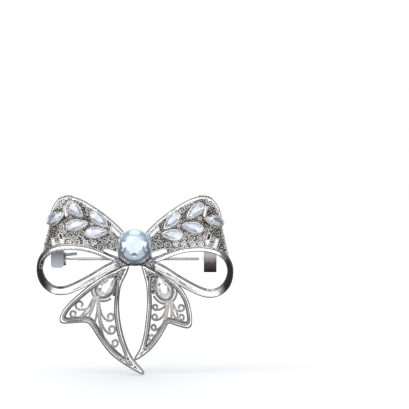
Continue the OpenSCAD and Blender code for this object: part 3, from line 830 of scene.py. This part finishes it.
def make_panel(side):
    """Granulated sheet with beaded wire scrolls in front and plain ones behind."""
    node = side + "_filigree_panel"
    sheet = Sheet(node)
    grid, lo = covered(node)
    gx, gz = np.meshgrid(*(np.arange(s) for s in grid.shape), indexing="ij")
    px = lo + GRID_STEP * (np.stack([gx, gz], -1) + 0.5)
    behind = grid.copy()
    stones = [stone_frame(f"{side}_stone_{k}") for k in range(1, 6)]

    def clear_of_stones(p):
        ok = np.ones(len(p), bool)
        for mid, axis, across, _, l, w, _ in stones:
            d = p - mid
            ok &= ((d @ axis) / (l / 2 - 0.2)) ** 2 + ((d @ across) / (w / 2 - 0.2)) ** 2 > 1
        return ok

    for mid, axis, across, _, l, w, _ in stones:
        d = px - mid[[0, 2]]
        grid &= ~((np.abs(d @ axis[[0, 2]]) < l / 2 + 0.1)
                  & (np.abs(d @ across[[0, 2]]) < w / 2 + 0.1))
    sign = -1 if side == "left" else 1
    grain, top, back = Build(), Build(), Build()
    granules(grain, node, 0.47, BEAD, clear_of_stones, lift=0.06)

    outlines = rims(node)
    for line in outlines:
        p = even(line, LINE_STEP, True)
        n = sheet.lay(p[:, [0, 2]])[1]
        rope(top, p + n * 0.06, n, BEAD)
    for line in outlines[1:]:
        flat = even(line, LINE_STEP, True)[:, [0, 2]]
        c = (flat.max(0) + flat.min(0)) / 2
        if np.ptp(flat[:, 1]) < EYE_HEIGHT:
            p, n = sheet.lay(c + (flat - c) * 0.5, 0.05)
            rope(top, p, n, WIRE_R)
        elif abs(c[0]) > END_SLOTS:
            p, n = sheet.lay(c + (flat - c) * [0.25, 0.7], 0.05)
            bead_row(grain, p, n, BEAD, 0.38, True)
    for line in rims(node, front=False):
        p = even(line, LINE_STEP, True)
        n = sheet.lay(p[:, [0, 2]])[1]
        sweep(back, p - n * 0.02, n, ring_profile(0.17), True)

    for c, size, turn in packed_circles(grid, px, (1.05, 0.85, 0.66, 0.5), 5):
        p, n = sheet.lay(circle(c, size - BEAD, int(size * 26)), 0.5)
        bead_row(top, p, n, BEAD, 0.37, True)
        if size > 0.6:
            t = np.linspace(0, 4.6, 20)
            r = (size - 0.55) * (1 - t / 6.5)
            p, n = sheet.lay(c + np.c_[np.cos(t * sign + turn), np.sin(t * sign + turn)]
                             * r[:, None], 0.5)
            bead_row(top, p, n, 0.16, 0.3)
    for c, size, turn in packed_circles(behind, px, (1.5, 1.1, 0.8, 0.6), 8):
        for inset in (0.15, 0.5):
            if size > inset + 0.25:
                p, n = sheet.lay(circle(c, size - inset, int(size * 22)), -0.38)
                sweep(back, p, n, ring_profile(WIRE_R), True)
    grain.piece(side + "_filigree_grains", node, BEADED)
    top.piece(side + "_filigree_scrolls", node, SCROLL)
    back.piece(side + "_filigree_back", node, WIRE)
    # painted shade: the sheet under the grains is dark
    dress(node, PAINTED_SHADE)


# ---------------------------------------------------------------- tails

def bezier(a, b, c, d):
    """Smooth curve from a to d, drawn towards b and c."""
    t = np.linspace(0, 1, 24)[:, None]
    return a * (1 - t) ** 3 + 3 * b * t * (1 - t) ** 2 + 3 * c * t * t * (1 - t) + d * t ** 3


def scroll(root, eye, r, way):
    """A strand from the root that passes below an eye and curls up around it."""
    foot = eye + [0, -r]
    drop = root[1] - foot[1]
    reach = abs(foot[0] - root[0])
    stem = bezier(root, root + [0, -0.62 * drop],
                  foot + [-way * 0.62 * reach, 0], foot)
    a = np.linspace(0, 5.6, 40)
    size = r * np.interp(a, [0, 2.4, 5.6], [1, 0.9, 0.34])
    curl = eye + np.c_[way * np.sin(a), -np.cos(a)] * size[:, None]
    return np.vstack([stem[:-1], curl])


def first_hit(start, direction, outline):
    """How far a ray in the front view goes before it meets a closed outline."""
    a, b = outline, np.roll(outline, -1, 0)
    e, d = b - a, a - start
    det = direction[0] * e[:, 1] - direction[1] * e[:, 0]
    det = np.where(np.abs(det) < 1e-9, 1e-9, det)
    t = (d[:, 0] * e[:, 1] - d[:, 1] * e[:, 0]) / det
    u = (d[:, 0] * direction[1] - d[:, 1] * direction[0]) / det
    ok = (t > 0) & (u >= 0) & (u <= 1)
    return t[ok].min() if ok.any() else 0.0


def make_tail(side):
    """Beaded double wires: scrolls around the filling's eyes, a fan, and rows at the stone."""
    node, edge = side + "_tail_filigree", side + "_tail_frame"
    inward = 1 if side == "left" else -1
    sheet = Sheet(edge, flat=True)
    mid, axis, across, n, l, w, _ = stone_frame(side + "_tail_stone")
    stone = mid[[0, 2]]
    root = (mid - axis * (l / 2 + 1.3))[[0, 2]]
    base, top = Build(), Build()

    def strand(line, ball=0.0):
        """Two rows of beads side by side on a dark wire painted as the shade between them, with a
        ball at its end if asked.
        """
        gap = 0.19
        line = even(line, 0.12)
        t = tangents(line, False)
        off = np.c_[t[:, 1], -t[:, 0]] * gap
        m, nn = sheet.lay(line, 0.0)
        sweep(base, m, nn, strip_profile(2 * gap + 0.22, 0.6, 0.08))
        for way in (-1, 1):
            p, nn = sheet.lay(line + off * way, 0.34)
            bead_row(top, p[way + 1:], nn[way + 1:], BEAD, BEAD * 2.15)
        if ball:
            beads(top, sheet.lay(line[-1:], 0.36)[0], ball)

    outlines = rims(node)
    outline = outlines[0][:, [0, 2]]
    for line in outlines[1:]:
        c, r = (line.max(0) + line.min(0))[[0, 2]] / 2, np.ptp(line[:, 0]) / 2
        round_one = abs(np.ptp(line[:, 2]) / 2 - r) < 0.12 * r
        behind_stone = np.linalg.norm(c - stone) < l / 2 + 0.3
        if r < 2 and round_one and abs(c[0] - root[0]) > 2.5 and not behind_stone:
            way = np.sign(c[0] - root[0])
            start = root + [way * (0.8 - 0.04 * (root[1] - c[1])), 0.25]
            strand(scroll(start, c, r * 1.02, way), ball=0.3)

    below = outline[outline[:, 1] < root[1] - 3]
    notch = below[np.argmin(np.linalg.norm(below - root, axis=1))] - root
    straight = math.atan2(notch[0], -notch[1])
    for turn, shift in ((-16, -0.75), (0, -0.25), (13, 0.25)):
        a = straight + math.radians(turn) * inward
        d = np.array([math.sin(a), -math.cos(a)])
        start = root + [shift * inward, 0]
        far = first_hit(start, d, outline)
        bow = np.array([-d[1], d[0]]) * 0.07 * far
        strand(bezier(start, start + d * far * 0.35 + bow, start + d * far * 0.7 + bow,
                      start + d * far))

    for grow, part in ((0.5, 1.0), (0.95, 1.0), (1.75, 0.36)):
        o = pear(l, w, 90, grow)
        if part < 1:
            o = o[int(90 * (0.5 - part / 2)):int(90 * (0.5 + part / 2))]
        flat = stone + o[:, :1] * axis[[0, 2]] + o[:, 1:] * across[[0, 2]]
        if part < 1:
            strand(flat)
            continue
        p, nn = sheet.lay(flat, 0.32)
        sweep(base, p - nn * 0.32, nn, strip_profile(0.45, 0.6, 0.06), True)
        bead_row(top, p, nn, BEAD, 0.34, True)

    def near_knot(p):
        d = p[:, [0, 2]] - stone
        along = d @ axis[[0, 2]]
        wide = np.abs(d @ across[[0, 2]])
        return (along > -0.6) & ((wide > w / 2 - 0.1) | (along > l / 2 - 0.6))

    granules(top, node, 0.36, BEAD, near_knot, lift=0.05)
    granules(base, node, 0.42, 0.36, near_knot, lift=-0.28)

    p = even(outlines[0], LINE_STEP, True)
    q, nn = sheet.lay(p[:, [0, 2]], 0.3)
    rope(top, q, nn, 0.25)
    sweep(base, q - nn * 0.3, nn, strip_profile(0.55, 0.7, 0.06), True)
    rim, inner = rims(edge)[:2]
    tip = inner[:, 2].min() + 0.9

    def at_the_ends(p):
        gap = np.linalg.norm(p[:, None, [0, 2]] - even(rim, 0.3, True)[None][:, :, [0, 2]],
                             axis=2).min(1)
        return (gap > 0.5) & ((p[:, 2] > KNOT_END) | (p[:, 2] < tip))

    grained(top, base, edge, at_the_ends)
    p = even(inner, LINE_STEP, True)
    q, nn = sheet.lay(p[:, [0, 2]])
    t = tangents(p, True)
    out = np.cross(nn, t)
    out *= -np.sign(((p.mean(0) - p) * out).sum(1).mean())
    q = p + out * 0.30 + nn * 0.08
    sweep(base, q - nn * 0.1, nn, strip_profile(0.72, 0.2, 0.04), True)
    bead_row(top, q, nn, 0.23, 0.44, True, 0.04)
    lines = Build()
    for line in rims(edge) + rims(edge, front=False):
        p = even(line, 0.25, True)
        n = sheet.lay(p[:, [0, 2]])[1]
        out = np.cross(n, tangents(p, True))
        out *= np.sign(((p - p.mean(0)) * out).sum(1).mean())
        # painted shade: the dark edge line is thicker where the edge faces down
        under = np.interp(-out[:, 2], [0.1, 0.6], [1.0, 1.7])
        sweep(lines, p, n, ring_profile(WIRE_R), True, scale=under)
    lines.piece(side + "_tail_shade_lines", edge, SHADE)
    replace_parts(top.piece(side + "_tail_ropes", node, BEADED), node)
    # painted shade: dark wires, strips and bed beads under the tail's bead rows
    base.piece(side + "_tail_shade_wires", node, STRAND_PAINTED_SHADE)


def trim_rings(side):
    """Beads and a bright wire on the lower ring's back rail, dark edge lines of painted shade,
    and grains at the knot end of the lower ring and the outer end of the upper one."""
    node = side + "_lower_ring"
    sheet = Sheet(node, flat=True)
    line = even(rims(node)[0], LINE_STEP, True)
    n = sheet.lay(line[:, [0, 2]])[1]
    t = tangents(line, True)
    inward = np.cross(n, t)
    centre = line.mean(0)
    inward *= np.sign(((centre - line) * inward).sum(1).mean())
    x = np.abs(line[:, 0])
    low = line[:, 2] < centre[2]

    def along(inset, near, far, lift):
        keep = low & (x > near) & (x < far)
        run = line[keep] + inward[keep] * inset + n[keep] * lift
        order = np.argsort(run[:, 0])
        return run[order], n[keep][order]

    b = Build()
    for inset, near, far in ((0.85, 4.0, 17.0), (1.4, 4.0, 15.0)):
        p, nn = along(inset, near, far, 0.02)
        bead_row(b, p, nn, BEAD, 0.38)
    p, nn = along(0.32, 4.0, 22.5, 0.06)
    sweep(b, p, nn, ring_profile(0.24, 10), scale=np.sin(np.linspace(0.15, 3.0, len(p))) ** 0.4)
    bed = Build()
    grained(b, bed, node, lambda q: np.abs(q[:, 0]) < 5.6)
    b.piece(side + "_rail_trim", node, SCROLL)
    # painted shade: dark bed beads between the rail's grains
    bed.piece(side + "_rail_shade_bed", node, PAINTED_SHADE)
    light, bed = Build(), Build()
    outer = even(rims(side + "_upper_ring")[0], 0.3, True)

    def inside_end(q):
        gap = np.linalg.norm(q[:, None] - outer[None], axis=2).min(1)
        return (np.abs(q[:, 0]) > 17.5) & (q[:, 2] > 8.5) & (gap > 0.68)

    grained(light, bed, side + "_upper_ring", inside_end)
    # painted shade: dark lines along the lower ring's edges
    lines = Build()
    for front in (True, False):
        for run in rims(node, front):
            p = even(run, 0.25, True)
            sweep(lines, p, sheet.lay(p[:, [0, 2]])[1], ring_profile(0.13), True)
    lines.piece(side + "_ring_shade_lines", node, SHADE)
    light.piece(side + "_ring_grains", side + "_upper_ring", BEADED)
    # painted shade: dark bed beads between the upper ring's grains
    bed.piece(side + "_ring_shade_bed", side + "_upper_ring", PAINTED_SHADE)


# ---------------------------------------------------------------- all pieces

def make_stones(side):
    """Five stones on the loop and one on the tail, each in its setting."""
    for tag in (1, 2, 3, 4, 5, "tail"):
        on_tail = tag == "tail"
        stone = f"{side}_tail_stone" if on_tail else f"{side}_stone_{tag}"
        holder = f"{side}_tail_setting" if on_tail else f"{side}_setting_{tag}"
        cut_stone(f"{side}_gem_{tag}", stone, CLEAR if on_tail else CRYSTAL)
        make_setting(f"{side}_collet_{tag}", holder, stone)


def dress_side(side):
    """Metals of the rings and the tail frame of one side."""
    # painted shade: the upper ring's rolled edges are dark
    dress(f"{side}_upper_ring", POLISH, 0.26, 4, SHADE)
    dress(f"{side}_lower_ring", RING)
    dress(f"{side}_tail_frame", POLISH, 0.1, 3)


def dress_middle():
    """Metals of the knot and of the pin's hinge and catch."""
    dress("knot_plate", POLISH, 0.15)
    dress("pearl_cup", POLISH, 0.08)
    dress("pearl_post", POLISH, 0.08)
    dress("hinge_bracket", BOX, 0.08)
    dress("catch_bracket", PLATE, 0.08)
    dress("catch_lock", SATIN, 0.06)
    dress("hinge_rivet", POLISH, 0.06)
    dress("pin_stem", WIRE, 0.03)


make_pearl()
make_pearl_shadow()
for side in SIDES:
    make_panel(side)
    make_tail(side)
    trim_rings(side)
    make_stones(side)
    dress_side(side)
dress_middle()


# ---------------------------------------------------------------- stage, light, camera

def area(name, at, size, power):
    """Round soft light."""
    data = bpy.data.lights.new(name, "AREA")
    data.shape, data.size, data.energy = "DISK", size, power
    o = bpy.data.objects.new(name, data)
    o.location = at
    o.rotation_euler = (Vector(at) - Vector(AIM)).to_track_quat("Z", "Y").to_euler()
    bpy.context.scene.collection.objects.link(o)


def soft_step(nodes, links, source, low, high):
    """0 below low and 1 above high, with a smooth rise between."""
    r = nodes.new("ShaderNodeMapRange")
    r.interpolation_type = "SMOOTHSTEP"
    r.inputs["From Min"].default_value = low
    r.inputs["From Max"].default_value = high
    links.new(source, r.inputs["Value"])
    return r.outputs["Result"]


def make_world():
    """Light tent: white round the camera and behind, dark gaps at the sides and below."""
    w = bpy.data.worlds.new("studio")
    bpy.context.scene.world = w
    w.use_nodes = True
    nodes, links = w.node_tree.nodes, w.node_tree.links
    nodes.clear()
    at = nodes.new("ShaderNodeTexCoord")
    split = nodes.new("ShaderNodeSeparateXYZ")
    links.new(at.outputs["Generated"], split.inputs["Vector"])
    x, y, z = (split.outputs[k] for k in "XYZ")
    side = nodes.new("ShaderNodeMath")
    side.operation = "ABSOLUTE"
    links.new(x, side.inputs[0])

    def blend(below, above, factor):
        mix = nodes.new("ShaderNodeMix")
        mix.data_type = "RGBA"
        for value, socket in ((below, "A"), (above, "B")):
            if isinstance(value, tuple):
                mix.inputs[socket].default_value = (*value, 1)
            else:
                links.new(value, mix.inputs[socket])
        links.new(factor, mix.inputs["Factor"])
        return mix.outputs["Result"]

    def both_of(a, b):
        m = nodes.new("ShaderNodeMath")
        m.operation = "MULTIPLY"
        links.new(a, m.inputs[0])
        links.new(b, m.inputs[1])
        return m.outputs["Value"]

    def towards(x, y, z, low, high, flat=1.0):
        """1 near a direction and 0 far from it; flat widens the patch from side to side."""
        squash = nodes.new("ShaderNodeVectorMath")
        squash.operation = "MULTIPLY"
        squash.inputs[1].default_value = (flat, 1, 1)
        links.new(at.outputs["Generated"], squash.inputs[0])
        gap = nodes.new("ShaderNodeVectorMath")
        gap.operation = "DISTANCE"
        gap.inputs[1].default_value = (x, y, z)
        links.new(squash.outputs["Vector"], gap.inputs[0])
        return soft_step(nodes, links, gap.outputs["Value"], high, low)

    wide = side.outputs["Value"]
    dark, pale, white = (0.03, 0.032, 0.038), (0.56, 0.59, 0.64), (1.25, 1.25, 1.25)
    middle = blend(pale, dark, soft_step(nodes, links, wide, 0.78, 0.88))
    slit = both_of(soft_step(nodes, links, wide, 0.925, 0.94),
                   soft_step(nodes, links, wide, 0.972, 0.96))
    middle = blend(middle, white, slit)
    middle = blend(middle, (0.8, 0.83, 0.87), soft_step(nodes, links, z, 0.6, 0.85))
    gap = blend(dark, (0.36, 0.38, 0.41), soft_step(nodes, links, z, 0.2, 0.5))
    rear = blend(middle, gap, soft_step(nodes, links, y, -0.02, 0.12))
    behind = blend(dark, (0.95, 0.95, 0.96), soft_step(nodes, links, z, -0.3, -0.05))
    all_round = blend(rear, behind, soft_step(nodes, links, y, 0.55, 0.7))
    all_round = blend(all_round, white, towards(0, -0.966, 0.26, 0.86, 1.02))
    all_round = blend(all_round, white, towards(0, -0.45, -0.89, 0.10, 0.18, 0.8))
    all_round = blend(all_round, dark, towards(0, -0.65, -0.76, 0.15, 0.22, 0.5))
    seen = nodes.new("ShaderNodeBackground")
    seen.inputs["Color"].default_value = (1, 1, 1, 1)
    lit = nodes.new("ShaderNodeBackground")
    lit.inputs["Strength"].default_value = 1.15
    links.new(all_round, lit.inputs["Color"])
    path = nodes.new("ShaderNodeLightPath")
    both = nodes.new("ShaderNodeMixShader")
    links.new(path.outputs["Is Camera Ray"], both.inputs["Fac"])
    links.new(lit.outputs["Background"], both.inputs[1])
    links.new(seen.outputs["Background"], both.inputs[2])
    out = nodes.new("ShaderNodeOutputWorld")
    links.new(both.outputs["Shader"], out.inputs["Surface"])


def floor_material():
    """Plain pale floor that glows a little more with distance, so no horizon shows."""
    m, nodes, links, p = shader("pale_floor")
    p.inputs["Base Color"].default_value = (0.80, 0.80, 0.81, 1)
    p.inputs["Roughness"].default_value = 0.6
    p.inputs["Emission Color"].default_value = (1, 1, 1, 1)
    at = nodes.new("ShaderNodeTexCoord")
    far = nodes.new("ShaderNodeVectorMath")
    far.operation = "LENGTH"
    links.new(at.outputs["Object"], far.inputs[0])
    glow = nodes.new("ShaderNodeMapRange")
    glow.inputs["From Min"].default_value = 0.08
    glow.inputs["From Max"].default_value = 0.45
    glow.inputs["To Min"].default_value = 0.10
    glow.inputs["To Max"].default_value = 0.34
    links.new(far.outputs["Value"], glow.inputs["Value"])
    links.new(glow.outputs["Result"], p.inputs["Emission Strength"])
    return m


def make_floor(height):
    """Floor just under the brooch. It doesn't show in the metal's reflections."""
    bpy.ops.mesh.primitive_plane_add(size=6, location=(0, 0, height))
    floor = bpy.context.object
    floor.name = "floor"
    floor.data.materials.append(floor_material())
    floor.visible_glossy = False


def make_camera(middle):
    """Straight-on camera, with the brooch low and left as in the front view."""
    data = bpy.data.cameras.new("camera")
    data.lens = LENS
    data.clip_start = 0.01
    data.clip_end = 20
    camera = bpy.data.objects.new("camera", data)
    away = FRAME_WIDTH * LENS / FILM_WIDTH
    camera.location = (middle[0] + SHIFT_RIGHT, middle[1] - away, middle[2] + SHIFT_UP)
    camera.rotation_euler = (math.pi / 2, 0, 0)
    bpy.context.scene.collection.objects.link(camera)
    bpy.context.scene.camera = camera
    bpy.context.scene.view_settings.view_transform = "Standard"


lo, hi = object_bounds()
make_floor(lo[2] - 0.0002)
make_world()
area("key", (-0.25, -0.35, 0.45), 0.35, 0.7)
area("left_fill", (-0.50, -0.20, 0.10), 0.30, 0.35)
area("right_fill", (0.50, -0.20, 0.15), 0.30, 0.35)
area("top", (0.0, 0.15, 0.55), 0.45, 0.5)
area("low_left", (-0.20, -0.46, -0.40), 0.07, 0.08)
area("low_right", (0.20, -0.46, -0.40), 0.07, 0.08)

make_camera((lo + hi) / 2)
